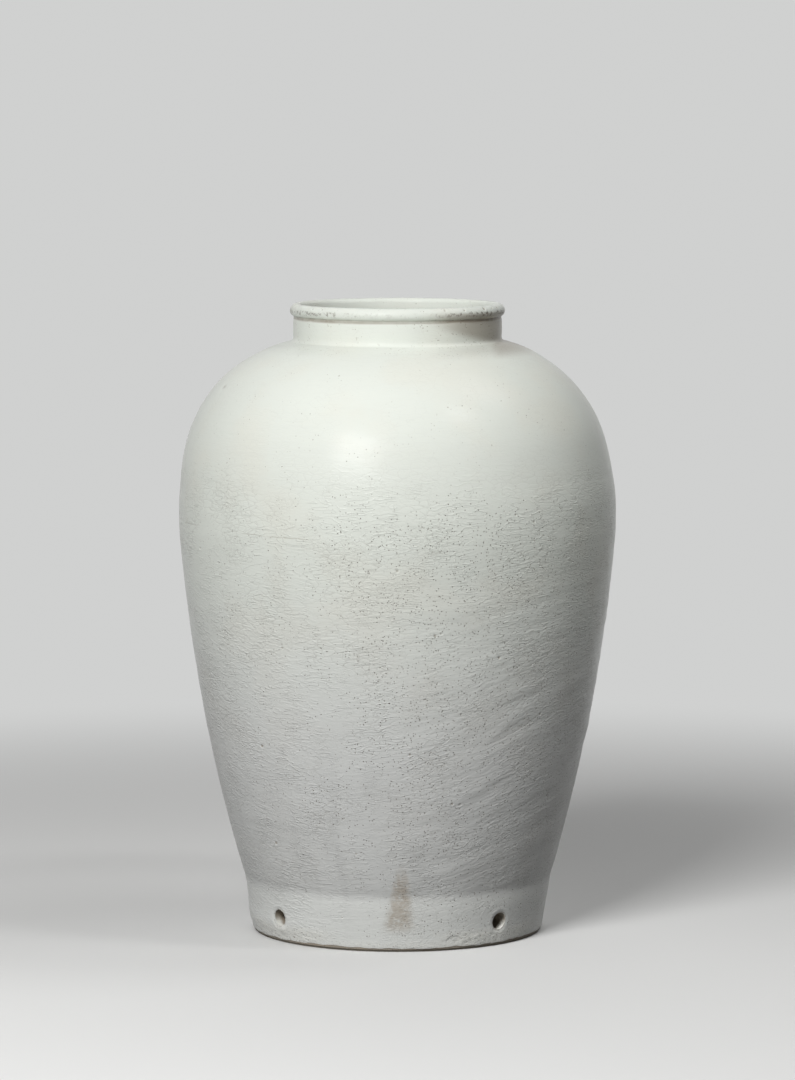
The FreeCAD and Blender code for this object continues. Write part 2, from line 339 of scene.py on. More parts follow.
glazePits = [
    ((262, 746), 1.7, 0.50),
    ((276, 843), 1.7, 0.50),
    ((448, 407), 0.9, 0.45),
    ((451, 409), 0.7, 0.40),
    ((390.5, 348.5), 0.9, 0.50),
    ((401, 352), 0.7, 0.45),
    ((339, 376), 0.9, 0.50),
    ((492, 445), 1.1, 0.35),
    ((397, 571), 1.8, 0.35),
    ((435, 636), 1.5, 0.45),
    ((441, 634), 1.1, 0.40),
    ((499, 658), 1.5, 0.45),
    ((410, 755), 1.4, 0.45),
    ((452, 804), 1.5, 0.45),
    ((460, 805), 1.3, 0.40),
    ((231, 610), 1.1, 0.40),
    ((246, 655), 1.2, 0.35),
    ((282, 648), 1.3, 0.40),
    ((415, 896), 1.0, 0.45),
    ((342, 918), 0.8, 0.45),
    ((356, 854), 1.1, 0.40),
    ((540, 714), 1.5, 0.40),
    ((516, 515), 1.2, 0.40),
    ((534, 522), 1.2, 0.40),
    ((200, 548), 1.1, 0.40),
    ((444.5, 309.8), 1.3, 0.40),
    ((464.5, 310.2), 1.5, 0.45),
    ((484, 308.6), 1.7, 0.45),
    ((492, 308), 1.1, 0.40),
    ((497, 307.2), 1.3, 0.45),
    ((502, 305.8), 1.2, 0.45),
    ((312.5, 309.2), 1.1, 0.40),
    ((322, 309.6), 1.2, 0.30),
    ((334, 312.8), 1.0, 0.35),
    ((310, 319.3), 1.0, 0.40),
    ((461, 323), 0.8, 0.35),
    ((466, 328), 0.8, 0.35),
    ((453, 321), 0.7, 0.35),
    ((489, 326.5), 0.9, 0.35),
    ((481, 325), 0.8, 0.35),
]
shoulderDent = {"place": (226, 388), "radius": 5 * mm, "depth": 0.35 * mm}
footFlake = {"place": (454, 940), "width": 5.5 * mm, "height": 3.2 * mm, "depth": 0.32 * mm}
holeBlob = {"place": (284, 929), "radius": 5 * mm, "height": 0.45 * mm}
wipeMarks = {
    "ends": [((478, 749), (526, 715)), ((452, 808), (510, 773)), ((503, 704), (532, 689))],
    "width": 3.6 * mm,
    "rise": 0.42 * mm,
    "dip": 0.30 * mm,
    "waver": 2.2 * mm,
}


def placeOnJar(piece, pixel):
    origin = Vector(shot["place"])
    hit, place, _, _ = piece.ray_cast(origin, sightLine(*pixel))
    return place if hit else None


def slope(place):
    # the potter's wiping marks climb to the right low down on the front
    right = max(0.0, place.x + 45 * mm)
    low = 1 - ease(place.z, 150 * mm, 330 * mm)
    return place.z - 1.55 * right * right * low


def ridgeShift(place):
    tilted = Vector((place.x, place.y, slope(place)))
    low = 1 - ease(place.z, 190 * mm, 320 * mm)
    right = ease(place.x, -40 * mm, 70 * mm)
    patches = 0.6 + 0.8 * grain(tilted, 60 * mm, 45 * mm, 6.3)
    strength = 0.16 + low * (0.30 + 1.15 * right) * patches
    strength *= ease(place.z, 30 * mm, 62 * mm) * (1 - ease(place.z, 385 * mm, 405 * mm))
    waves = grain(tilted, 85 * mm, 13 * mm, 3.1) + 0.5 * grain(tilted, 40 * mm, 6.5 * mm, 7.7)
    return outerGlaze["ridge"] * strength * waves


def leanShift(place):
    # the shoulder was pushed a little to the left while the clay was soft
    high = ease(place.z, 305 * mm, 345 * mm) * (1 - ease(place.z, 385 * mm, 410 * mm))
    return -outerGlaze["lean"] * high * place.x / math.hypot(place.x, place.y)


def swellShift(place):
    fade = 1 - ease(place.z, 385 * mm, 412 * mm)
    broad = grain(place, 120 * mm, 75 * mm, 1.3) + 0.5 * grain(place, 45 * mm, 30 * mm, 5.2)
    return outerGlaze["swell"] * fade * broad


def creaseShift(place):
    # the line round the jar where foot ring and body were luted
    sag = outerGlaze["creaseSag"] * grain(place, 60 * mm, 60 * mm, 9.0)
    off = place.z - form["creaseHeight"] - sag
    dip = (1 + 0.6 * grain(place, 35 * mm, 90 * mm, 5.0)) * hump(off, 0, 4.5 * mm)
    return outerGlaze["crease"] * (0.6 * hump(off, -10 * mm, 6 * mm) - dip)


def bellySeamHeight(place):
    # the luted seam of the two bowls runs a little out of level
    tilt = form["bellySeamTilt"] * math.sin(bearingOf(place))
    return form["bellySeam"] - tilt + 1.2 * mm * grain(place, 40 * mm, 400 * mm, 2.5)


def bellySeamShift(place):
    present = ease(grain(place, 55 * mm, 400 * mm, 4.4), -0.45, 0.1)
    line = hump(place.z, bellySeamHeight(place), 1.3 * mm)
    return -outerGlaze["bellySeam"] * present * line


def neckShift(place):
    # rings round the neck, a groove under the lip, and the lip worn most at its ends
    onNeck = ease(place.z, 400 * mm, 408 * mm)
    onLip = ease(place.z, 430 * mm, 433 * mm)
    rings = math.sin(place.z / (2.3 * mm)) * (1 - onLip) + 1.2 * grain(place, 22 * mm, 8 * mm, 6.1)
    worn = (1 + ease(abs(place.x), 15 * mm, 65 * mm)) * grain(place, 6 * mm, 3 * mm, 8.8) * onLip
    groove = hump(place.z, 430.6 * mm, 1.1 * mm)
    shift = outerGlaze["neckRings"] * rings * onNeck + outerGlaze["lipWear"] * worn
    return shift - outerGlaze["lipGroove"] * groove


def footShift(place):
    # gritty, uneven glaze just above the foot
    low = 1 - ease(place.z, 8 * mm, 16 * mm)
    bearing = math.degrees(bearingOf(place))
    rough = 0.35 + hump(bearing, -46, 16) + hump(bearing, 36, 16)
    return outerGlaze["footGrit"] * low * rough * grain(place, 4.5 * mm, 2.6 * mm, 2.2)


def fullShift(place):
    # on the left the foot stands fuller and rounds in lower down
    left = ease(-place.x, 35 * mm, 95 * mm)
    full = outerGlaze["fullFoot"] * hump(place.z, 13 * mm, 7 * mm)
    drawn = outerGlaze["drawnFoot"] * hump(place.z, 31 * mm, 6 * mm)
    return left * (full - drawn)


def edgeLift(place):
    # the glaze ends in a wavy line above the bare foot
    fade = 1 - ease(place.z, 3 * mm, 14 * mm)
    wave = 0.7 * grain(place, 26 * mm, 400 * mm, 4.9) + 0.8 * grain(place, 7 * mm, 400 * mm, 1.7)
    return outerGlaze["edgeWave"] * fade * clamp(wave, -0.9, 1.2)


def pitShift(place, pits):
    shift = 0.0
    for centre, radius, depth in pits:
        away = (place - centre).length / radius
        if away < 2.5:
            bowl = max(0.0, 1 - away * away) ** 1.3
            shift += depth * (0.14 * hump(away, 1.15, 0.3) - bowl)
    return shift


def roundShift(place, mark, amount):
    away = (place - mark["centre"]).length / mark["radius"]
    return amount * max(0.0, 1 - away * away) ** 2 if away < 1 else 0.0


def wipeShift(place, wipes):
    # a welt with a dip under it, where a finger dragged the glaze up to the right
    shift = 0.0
    width = wipeMarks["width"]
    for start, end in wipes:
        along = end - start
        share = clamp((place - start).dot(along) / along.length_squared)
        off = place - start - along * share
        if off.length < 5 * width:
            level = (off.z + wipeMarks["waver"] * grain(place, 12 * mm, 12 * mm, 5.5)) / width
            beyond = (off.length_squared - off.z**2) / width**2
            fade = math.exp(-0.4 * beyond) * ease(share, -0.3, 0.5) * ease(1 - share, -0.3, 0.5)
            rise = wipeMarks["rise"] * hump(level, 0.6, 1)
            shift += fade * (rise - wipeMarks["dip"] * hump(level, -0.8, 1))
    return shift


def flakeShift(place):
    # a scallop where the glaze has flaked off the foot, sharp at its upper edge
    centre = footFlake["centre"]
    across = math.hypot(place.x - centre.x, place.y - centre.y) / footFlake["width"]
    up = (place.z - centre.z) / footFlake["height"]
    if across >= 1 or not -1.5 < up < 1:
        return 0.0
    top = math.sqrt(1 - across * across)
    if up > top:
        return 0.0
    return -footFlake["depth"] * ease(top - up, 0, 0.25) * (0.45 + 0.55 * ease(up, -1.2, 0.8))


tieMounts = [mounts["first_tie_line"], mounts["second_tie_line"]]


def tieLines():
    # start, direction and radius of each line through opposite tie holes
    lines = []
    for mount in tieMounts:
        direction = Vector(mount["axis"]).normalized()
        lines.append((Vector(mount["pos_m"]), direction, mount["dims"]["r_mm"] * mm))
    return lines


def tieDistance(place, line):
    start, direction, _ = line
    offset = place - start
    return (offset - direction * offset.dot(direction)).length


def holeShift(place, lines):
    # glaze drawn back softly round each tie hole
    shift = 0.0
    for line in lines:
        away = (tieDistance(place, line) - line[2]) / (3.2 * mm)
        if away < 1:
            shift -= outerGlaze["holeRound"] * (1 - max(away, 0.0)) ** 2.2
            shift += outerGlaze["holeRim"] * hump(away, 0.9, 0.35)
    return shift


def makeOuterGlaze():
    spacing = outerGlaze["rowSpacing"]
    skin = coatOutline(0, spacing)
    hidden = coatOutline(outerGlaze["thickness"], spacing * outerGlaze["hiddenRows"])[::-1]
    top = roundEnd(skin[-1], hidden[0], 1)
    bottom = roundEnd(hidden[-1], skin[0], 1)
    piece = spinOutline("glazeCoat", skin + top + hidden + bottom + [skin[0]], outerGlaze["steps"])
    markSkin(piece, skin + top[:2] + bottom[-2:], hidden + top[2:] + bottom[:-2])
    print("outer glaze spun:", len(piece.data.polygons), "faces")

    bpy.context.view_layer.update()
    for mark in (shoulderDent, footFlake, holeBlob):
        mark["centre"] = placeOnJar(piece, mark["place"])
    pits = [(placeOnJar(piece, pixel), r * mm, d * mm) for pixel, r, d in glazePits]
    wipes = [[placeOnJar(piece, pixel) for pixel in ends] for ends in wipeMarks["ends"]]
    lines = tieLines()

    bpy.ops.object.mode_set(mode="EDIT")

    def facesOut(face, middle):
        # the top of the lip counts as outside too
        return face.normal.dot(Vector((middle.x, middle.y, 20 * mm))) > 0

    def nearPit(face):
        middle = face.calc_center_median()
        margin = outerGlaze["pitMargin"]
        near = ((middle - p).length < margin + 1.1 * r for p, r, _ in pits)
        return facesOut(face, middle) and any(near)

    def nearTieHole(face):
        middle = face.calc_center_median()
        margin = outerGlaze["holeMargin"]
        return any(tieDistance(middle, line) < line[2] + margin for line in lines)

    def nearFlake(face):
        middle = face.calc_center_median()
        near = (middle - footFlake["centre"]).length < outerGlaze["flakeMargin"]
        return facesOut(face, middle) and near

    selectFaces(piece, nearTieHole)
    bpy.ops.mesh.subdivide(number_cuts=2)
    selectFaces(piece, nearFlake)
    bpy.ops.mesh.subdivide(number_cuts=5)
    selectFaces(piece, nearPit)
    bpy.ops.mesh.subdivide(number_cuts=5)
    bpy.ops.object.mode_set(mode="OBJECT")
    print("outer glaze refined:", len(piece.data.polygons), "faces")

    shapeGlaze(piece, pits, wipes, lines)
    cutTieHoles(piece, lines)
    smoothPiece(piece)
    return piece


def shapeGlaze(piece, pits, wipes, lines):
    skin = piece.data.attributes["skin"].data
    hollowDirtAndShade = piece.data.attributes.new("hollowDirtAndShade", "FLOAT", "POINT")
    normals = [vertex.normal.copy() for vertex in piece.data.vertices]
    for vertex, normal in zip(piece.data.vertices, normals):
        place = vertex.co.copy()
        onSkin = skin[vertex.index].value > 0.5
        outward = normal if onSkin else -normal
        shift = swellShift(place) + ridgeShift(place) + creaseShift(place) + leanShift(place)
        shift += wipeShift(place, wipes)
        if onSkin:
            marks = pitShift(place, pits) + holeShift(place, lines)
            marks += roundShift(place, shoulderDent, -shoulderDent["depth"])
            marks += roundShift(place, holeBlob, holeBlob["height"])
            marks += bellySeamShift(place) + neckShift(place) + footShift(place)
            shift += marks + flakeShift(place) + fullShift(place)
            # how deep each mark lies, for its dirt and painted shade
            depth = -marks - 0.5 * creaseShift(place)
            hollowDirtAndShade.data[vertex.index].value = clamp(depth / (0.45 * mm))
        room = outerGlaze["reach"] - math.hypot(place.x, place.y)
        shift = clamp(shift, outerGlaze["leastShift"], min(outerGlaze["greatestShift"], room))
        vertex.co = place + outward * shift + Vector((0, 0, edgeLift(place)))
        highest = outerGlaze["top"] if onSkin else outerGlaze["hiddenTop"]
        vertex.co.z = min(vertex.co.z, highest)
    piece.data.update()
    print("outer glaze shaped")


def cutTieHoles(piece, lines):
    for start, direction, radius in lines:
        deselectAll()
        turn = direction.to_track_quat("Z", "Y").to_euler()
        bpy.ops.mesh.primitive_cylinder_add(
            vertices=56,
            radius=radius,
            depth=2.6 * form["footRadius"],
            location=start,
            rotation=turn,
        )
        drill = bpy.context.object
        chooseOnly(piece)
        bore = piece.modifiers.new("tieHoles", "BOOLEAN")
        bore.operation = "DIFFERENCE"
        bore.solver = "EXACT"
        bore.object = drill
        bpy.ops.object.modifier_apply(modifier=bore.name)
        bpy.data.objects.remove(drill)
    print("tie holes cut")


def smoothPiece(piece):
    chooseOnly(piece)
    bpy.ops.object.shade_smooth_by_angle(angle=smoothAngle)


glazeCoat = makeOuterGlaze()

# glaze inside, down the wall and over the floor

innerGlaze = {
    "steps": 176,
    "rowSpacing": 2.8 * mm,
    "hiddenRows": 4,
    "thickness": 0.45 * mm,
    "top": 433 * mm,
    "topDepth": 0.12 * mm,
    "ring": 0.32 * mm,
    "ringPitch": 11 * mm,
    "swirl": 0.22 * mm,
    "swirlPitch": 9 * mm,
    "unevenness": 0.12 * mm,
    "leastShift": -0.3 * mm,
}


def liningOutline(depth, spacing):
    # from the middle of the floor up to the mouth, at a depth behind the surface
    growth = depth - form["wall"] - 2 * form["glaze"]
    floor = form["floorHeight"] - depth
    foot = Vector((form["floorRadius"] + depth, floor))
    bore = form["mouthRadius"] + max(depth, innerGlaze["topDepth"])
    root = Vector((bore, form["innerRootHeight"] + depth))
    turn = form["innerRound"] - depth
    turnRadius = bore + turn

    def meetMouth(topCentre, shoulder):
        height = math.sqrt((shoulder + turn) ** 2 - (turnRadius - topCentre.x) ** 2)
        return math.atan2(height, turnRadius - topCentre.x)

    sideCentre, topCentre, body = bodyArcs(foot, root, growth, spacing, meetMouth)
    side = form["sideCurve"] + growth
    cove = form["floorCove"] + depth
    coveHeight = floor + cove
    coveRadius = sideCentre.x + math.sqrt((side - cove) ** 2 - (coveHeight - sideCentre.y) ** 2)
    coveCentre = Vector((coveRadius, coveHeight))
    coveTop = angleFrom(sideCentre, coveCentre)
    wall = [p for p in body if p.y > coveHeight + cove * math.sin(coveTop)]
    mouthAngle = angleFrom(topCentre, body[-1])
    mouthCentre = body[-1] + turn * Vector((math.cos(mouthAngle), math.sin(mouthAngle)))
    return joined(
        linePoints(Vector((0, floor)), Vector((coveRadius, floor)), spacing),
        arcPoints(coveCentre, cove, -math.pi / 2, coveTop, spacing * 0.5),
        wall,
        arcPoints(mouthCentre, turn, mouthAngle + math.pi, math.pi, 0.5 * mm),
        linePoints(Vector((bore, mouthCentre.y)), Vector((bore, innerGlaze["top"])), spacing),
    )


def ringShift(place):
    # throwing rings climb the wall in one spiral, and run out at floor and neck
    turns = bearingOf(place) / (2 * math.pi)
    climb = place.z / innerGlaze["ringPitch"] + turns + 0.25 * grain(place, 90 * mm, 60 * mm, 3.3)
    onWall = ease(place.z, 52 * mm, 70 * mm) * (1 - ease(place.z, 385 * mm, 402 * mm))
    wall = innerGlaze["ring"] * onWall * (0.6 * math.sin(2 * math.pi * climb) - 0.6)
    reach = math.hypot(place.x, place.y)
    onFloor = (1 - ease(place.z, 44 * mm, 47 * mm)) * ease(reach, 6 * mm, 18 * mm)
    swirl = math.sin(2 * math.pi * (reach / innerGlaze["swirlPitch"] - turns))
    return wall + innerGlaze["swirl"] * onFloor * (swirl - 1)


def makeInnerGlaze():
    spacing = innerGlaze["rowSpacing"]
    skin = liningOutline(0, spacing)
    hidden = liningOutline(innerGlaze["thickness"], spacing * innerGlaze["hiddenRows"])[::-1]
    piece = spinOutline("glazeLining", skin + hidden, innerGlaze["steps"])
    markSkin(piece, skin, hidden)
    onSkin = piece.data.attributes["skin"].data
    normals = [vertex.normal.copy() for vertex in piece.data.vertices]
    for vertex, normal in zip(piece.data.vertices, normals):
        if onSkin[vertex.index].value > 0.5:
            place = vertex.co.copy()
            fade = ease(400 * mm - place.z, 0, 20 * mm)
            rough = innerGlaze["unevenness"] * fade * grain(place, 30 * mm, 20 * mm, 6.6)
            vertex.co = place + normal * max(-ringShift(place) - rough, innerGlaze["leastShift"])
    piece.data.update()
    smoothPiece(piece)
    print("inner glaze spun:", len(piece.data.polygons), "faces")
    return piece


glazeLining = makeInnerGlaze()

# shader maths


class Wire:
    # one output socket of a recipe, which plain sums can be written on
    def __init__(self, recipe, socket):
        self.recipe = recipe
        self.socket = socket

    def reckon(self, operation, first, second):
        settings = {"operation": operation}
        return self.recipe.add("ShaderNodeMath", settings, {0: first, 1: second})

    def __add__(self, other):
        return self.reckon("ADD", self, other)

    def __radd__(self, other):
        return self.reckon("ADD", other, self)

    def __sub__(self, other):
        return self.reckon("SUBTRACT", self, other)

    def __rsub__(self, other):
        return self.reckon("SUBTRACT", other, self)

    def __mul__(self, other):
        return self.reckon("MULTIPLY", self, other)

    def __rmul__(self, other):
        return self.reckon("MULTIPLY", other, self)

    def __truediv__(self, other):
        return self.reckon("DIVIDE", self, other)

    def larger(self, other):
        return self.reckon("MAXIMUM", self, other)

    def apart(self, other):
        return self.reckon("ABSOLUTE", self - other, 0)

    def folded(self):
        # distance to the nearest whole number, so that smooth noise gives threads
        return self.reckon("PINGPONG", self, 0.5)


class Recipe:
    # the nodes of a material or of the world
    def __init__(self, owner):
        self.owner = owner
        owner.use_nodes = True
        self.tree = owner.node_tree
        self.tree.nodes.clear()

    def add(self, kind, settings=None, sockets=None, output=0):
        node = self.tree.nodes.new(kind)
        for key, value in (settings or {}).items():
            setattr(node, key, value)
        for key, value in (sockets or {}).items():
            if isinstance(value, Wire):
                self.tree.links.new(value.socket, node.inputs[key])
            else:
                node.inputs[key].default_value = value
        return Wire(self, node.outputs[output]) if node.outputs else None

    def place(self):
        # object coordinates in millimetres
        metres = self.add("ShaderNodeTexCoord", output=3)
        settings = {"operation": "SCALE"}
        return self.add("ShaderNodeVectorMath", settings, {0: metres, "Scale": 1 / mm})

    def axes(self, vector):
        first = self.add("ShaderNodeSeparateXYZ", {}, {0: vector})
        return [Wire(self, output) for output in first.socket.node.outputs]

    def combine(self, x, y, z):
        return self.add("ShaderNodeCombineXYZ", {}, {0: x, 1: y, 2: z})

    def stretch(self, vector, scale, shift=(0, 0, 0)):
        settings = {"operation": "MULTIPLY_ADD"}
        return self.add("ShaderNodeVectorMath", settings, {0: vector, 1: scale, 2: shift})

    def noise(self, vector, size, detail=2.0, roughness=0.5, output=0):
        sockets = {"Vector": vector, "Scale": 1 / size, "Detail": detail, "Roughness": roughness}
        return self.add("ShaderNodeTexNoise", {}, sockets, output)

    def lumps(self, vector, wide, high, detail=2.0, roughness=0.5):
        # noise in lumps of a given width and height
        scaled = self.stretch(vector, (1 / wide, 1 / wide, 1 / high))
        return self.noise(scaled, 1, detail, roughness)

    def sway(self, vector, size, amount, detail=1.0):
        # the same place, pushed about by smooth noise
        push = self.noise(vector, size, detail, output=1)
        centred = self.stretch(push, (amount,) * 3, (-amount / 2,) * 3)
        return self.add("ShaderNodeVectorMath", {"operation": "ADD"}, {0: vector, 1: centred})

    def cells(self, vector, size, feature, output=0):
        sockets = {"Vector": vector, "Scale": 1 / size}
        return self.add("ShaderNodeTexVoronoi", {"feature": feature}, sockets, output)

    def ease(self, value, low, high):
        sockets = {"Value": value, "From Min": low, "From Max": high}
        return self.add("ShaderNodeMapRange", {"interpolation_type": "SMOOTHSTEP"}, sockets)

    def mark(self, name):
        return self.add("ShaderNodeAttribute", {"attribute_name": name}, {}, 2)

    def luck(self, vector, size):
        # a number of its own for each cell
        return self.axes(self.cells(vector, size, "F1", 1))[0]

    def mix(self, share, first, second):
        return self.add("ShaderNodeMix", {"data_type": "RGBA"}, {0: share, 6: first, 7: second}, 2)

    def finish(self, colour, roughness, height, gleam):
        # height is in millimetres
        bump = self.add("ShaderNodeBump", {}, {"Height": height, "Distance": mm, "Strength": 1.0})
        sockets = {"Base Color": colour, "Roughness": roughness, "Normal": bump}
        sockets["Specular IOR Level"] = gleam
        shader = self.add("ShaderNodeBsdfPrincipled", {}, sockets)
        self.add("ShaderNodeOutputMaterial", {}, {"Surface": shader})
        return self.owner

    def backdropRays(self):
        # rays that meet the pale backdrop: those of the camera, of mirrors and of glass
        names = ("Is Camera Ray", "Is Glossy Ray", "Is Transmission Ray")
        camera, mirror, glass = [self.add("ShaderNodeLightPath", {}, {}, name) for name in names]
        return camera.larger(mirror).larger(glass)


glazeTones = {
    "white": (0.775, 0.805, 0.742, 1),
    "cream": (0.790, 0.780, 0.690, 1),
    "pearl": (0.705, 0.708, 0.700, 1),
    "grey": (0.590, 0.595, 0.580, 1),
    "crackle": (0.400, 0.385, 0.345, 1),
    "foot": (0.860, 0.875, 0.840, 1),
    "crust": (0.880, 0.880, 0.825, 1),
    "pin": (0.230, 0.200, 0.165, 1),
    # brown of real dirt, also used for painted shade and the painted shadow of the lip
    "dirtAndShade": (0.290, 0.245, 0.190, 1),
    "stain": (0.420, 0.345, 0.255, 1),
}
glazeMarks = {
    # sizes in millimetres
    "cellSize": 9.0,
    "fineCellSize": 3.8,
    "pinSpacing": 1.9,
    "bigPinSpacing": 7.0,
    # share that each mark takes of its own tone
    "cellTint": 0.30,
    "threadTint": 0.18,
    "fineCellTint": 0.20,
    "seamTint": 0.40,
    "lipShadowTint": 0.68,
    "grooveShadeTint": 0.70,
    "chipTint": 0.80,
    "stainTint": 0.62,
    "hollowDirtAndShadeTint": 0.72,
    # heights and depths in millimetres
    "threadHeight": 0.15,
    "hatchHeight": 0.14,
    "cellDepth": 0.08,
    "fineCellDepth": 0.07,
    "pinDepth": 0.30,
    "crustHeight": 0.40,
    "chipDepth": 0.30,
    "gleam": 0.11,
}


def alongTies(x, y):
    # distance from the middle along the nearer line of tie holes
    axes = [mount["axis"] for mount in tieMounts]
    first, second = [(x * axis[0] + y * axis[1]).apart(0) for axis in axes]
    return first.larger(second)


def glazeRecipe(name, grey, roughness, outside):
    paint = Recipe(bpy.data.materials.new(name))
    place = paint.place()
    x, y, z = paint.axes(place)
    greyTone = glazeTones["grey"]
    dirtAndShade = glazeTones["dirtAndShade"]

    # marks of wiping and throwing, which climb to the right low down on the front
    right = (x + 45).larger(0)
    low = 1 - paint.ease(z, 150, 330)
    lowRight = low * paint.ease(x, -70, 50) * paint.ease(z, 32, 56)
    tilted = paint.combine(x, y, z - 0.00155 * right * right * low)
    streaks = paint.lumps(tilted, 34, 2.3, 3, 0.6)
    softStreaks = paint.lumps(tilted, 70, 9)
    ripples = paint.lumps(paint.sway(tilted, 9, 3), 9, 2.6)
    runs = paint.lumps(place, 15, 210)

    # crackle: cells wider than high, and long threads that wander round the jar
    swayed = paint.sway(paint.stretch(tilted, (1, 1, 2.3)), 12, 9, 2)
    fineSwayed = paint.sway(paint.stretch(tilted, (1, 1, 2.4)), 5, 4)
    net = paint.cells(swayed, glazeMarks["cellSize"], "DISTANCE_TO_EDGE")
    fineNet = paint.cells(fineSwayed, glazeMarks["fineCellSize"], "DISTANCE_TO_EDGE")
    thread = (9 * paint.lumps(tilted, 26, 7, 2, 0.45)).folded()
    netShare = 0.15 + 0.85 * paint.ease(paint.noise(place, 42, 2), 0.42, 0.62)
    threadShare = paint.ease(paint.noise(place, 22, 2), 0.38, 0.56)
    fineShare = paint.ease(paint.noise(place, 30, 2), 0.46, 0.64)
    quiet = (1 - 0.8 * paint.ease(z, 305, 345)) * (0.65 + 0.35 * paint.ease(z, 30, 55))
    line = (1 - paint.ease(net, 0.0, 0.05)) * netShare * quiet
    cushion = (1 - paint.ease(net, 0.0, 0.16)) * netShare * quiet
    longLine = (1 - paint.ease(thread, 0.0, 0.05)) * threadShare * quiet
    welt = (1 - paint.ease(thread, 0.0, 0.16)) * threadShare * quiet
    fineLine = (1 - paint.ease(fineNet, 0.0, 0.08)) * fineShare * quiet

    # a hatch of short light strokes, low on the left
    leaning = paint.combine(x, y, z - 0.36 * y)
    hatch = 1 - paint.ease((5 * paint.lumps(leaning, 18, 5)).folded(), 0.0, 0.30)
    hatch = hatch * paint.ease(0 - x, 25, 75) * (1 - paint.ease(z, 200, 300))
    hatch = hatch * (0.35 + 0.65 * paint.ease(paint.noise(place, 24, 2), 0.38, 0.58))

    # pinholes in swarms, thickest on the front and right of the body
    near = paint.ease(0 - y, -20, 90)
    aboveEdge = paint.ease(z, 4, 14)
    band = (0.35 + 0.65 * paint.ease(z, 35, 80)) * aboveEdge * (1 - paint.ease(z, 285, 335))
    onFoot = paint.ease(x, 10, 40) * aboveEdge * (1 - paint.ease(z, 50, 90))
    band = band.larger(0.85 * onFoot)
    toRight = paint.ease(x, -75, 30)
    swarm = 0.55 * paint.noise(place, 26, 2) + 0.45 * paint.noise(place, 9, 2)
    crowd = 0.40 * near * band * (0.35 + 0.65 * toRight) + swarm
    pins = paint.cells(place, glazeMarks["pinSpacing"], "F1")
    luck = paint.luck(place, glazeMarks["pinSpacing"])
    pin = (1 - paint.ease(pins, 0.10, 0.27)) * paint.ease(crowd + 0.40 * luck, 0.82, 1.10)
    bigPins = paint.cells(place, glazeMarks["bigPinSpacing"], "F1")
    bigPin = (1 - paint.ease(bigPins, 0.03, 0.085)) * paint.ease(crowd, 0.66, 0.84)

    # colour: greener white above; plainer, greyer and darker below, partly the glaze's own grey
    # patches and partly painted shade where the light falls off low down; and a lighter band on the
    # foot, painted light
    patches = paint.ease(paint.noise(place, 60, 3), 0.45, 0.68)
    tone = paint.mix(0.38 * patches, glazeTones["white"], glazeTones["cream"])
    # the pearl tone and the weight lower on the grey patches darken the body towards the bottom:
    # painted shade
    tone = paint.mix(0.8 * (1 - paint.ease(z, 110, 300)), tone, glazeTones["pearl"])
    lower = 1 - paint.ease(z, 45, 175)
    flattened = paint.stretch(place, (1, 1, 1.7), (31, 7, 3))
    clouds = paint.ease(paint.noise(flattened, 48, 3), 0.48, 0.75)
    tone = paint.mix(clouds * (0.03 + 0.24 * lower) + grey, tone, greyTone)
    tone = paint.mix(paint.ease(softStreaks, 0.50, 0.75) * (0.03 + 0.36 * lower), tone, greyTone)
    tone = paint.mix(paint.ease(runs, 0.48, 0.68) * 0.40 * lower, tone, greyTone)
    tone = paint.mix(paint.ease(streaks, 0.52, 0.78) * (0.05 + 0.20 * lower), tone, greyTone)
    # lighter band on the foot: painted light
    tone = paint.mix(0.75 * (1 - paint.ease(z, 32, 42)), tone, glazeTones["foot"])
    cracks = glazeMarks["cellTint"] * line + glazeMarks["threadTint"] * longLine
    cracks = cracks + glazeMarks["fineCellTint"] * fineLine
    tone = paint.mix(cracks, tone, glazeTones["crackle"])

    # relief
    height = 0.07 * streaks + 0.07 * softStreaks + 0.03 * paint.noise(place, 1.8, 2)
    height = height + (0.07 + 0.26 * lowRight + 0.06 * low) * ripples
    height = height + glazeMarks["threadHeight"] * welt + glazeMarks["hatchHeight"] * hatch
    height = height - glazeMarks["cellDepth"] * cushion - glazeMarks["fineCellDepth"] * fineLine
    height = height - glazeMarks["pinDepth"] * (pin + bigPin)

    if outside:
        # a hairline where the two bowls were luted
        level = form["bellySeam"] / mm - 0.034 * x + 3 * paint.noise(place, 16, 2)
        hairline = 1 - paint.ease(z.apart(level - 1.5), 0.05, 0.60)
        hairline = hairline * paint.ease(paint.noise(place, 22, 2), 0.42, 0.60)
        hairline = hairline * paint.ease(x, 10, -90)
        tone = paint.mix(glazeMarks["seamTint"] * hairline, tone, dirtAndShade)

        # crust round the tie holes and along the foot
        crust = paint.ease(alongTies(x, y), 88, 101) * (1 - paint.ease(z, 9, 16))
        crust = crust.larger(0.55 * (1 - paint.ease(z, 4, 10)))
        rind = paint.noise(place, 1.6, 3, 0.65)
        pale = 0.4 + 0.6 * paint.ease(rind, 0.40, 0.55)
        tone = paint.mix(crust * pale, tone, glazeTones["crust"])
        tone = paint.mix(crust * (1 - paint.ease(rind, 0.30, 0.40)) * 0.8, tone, dirtAndShade)
        height = height + glazeMarks["crustHeight"] * crust * rind
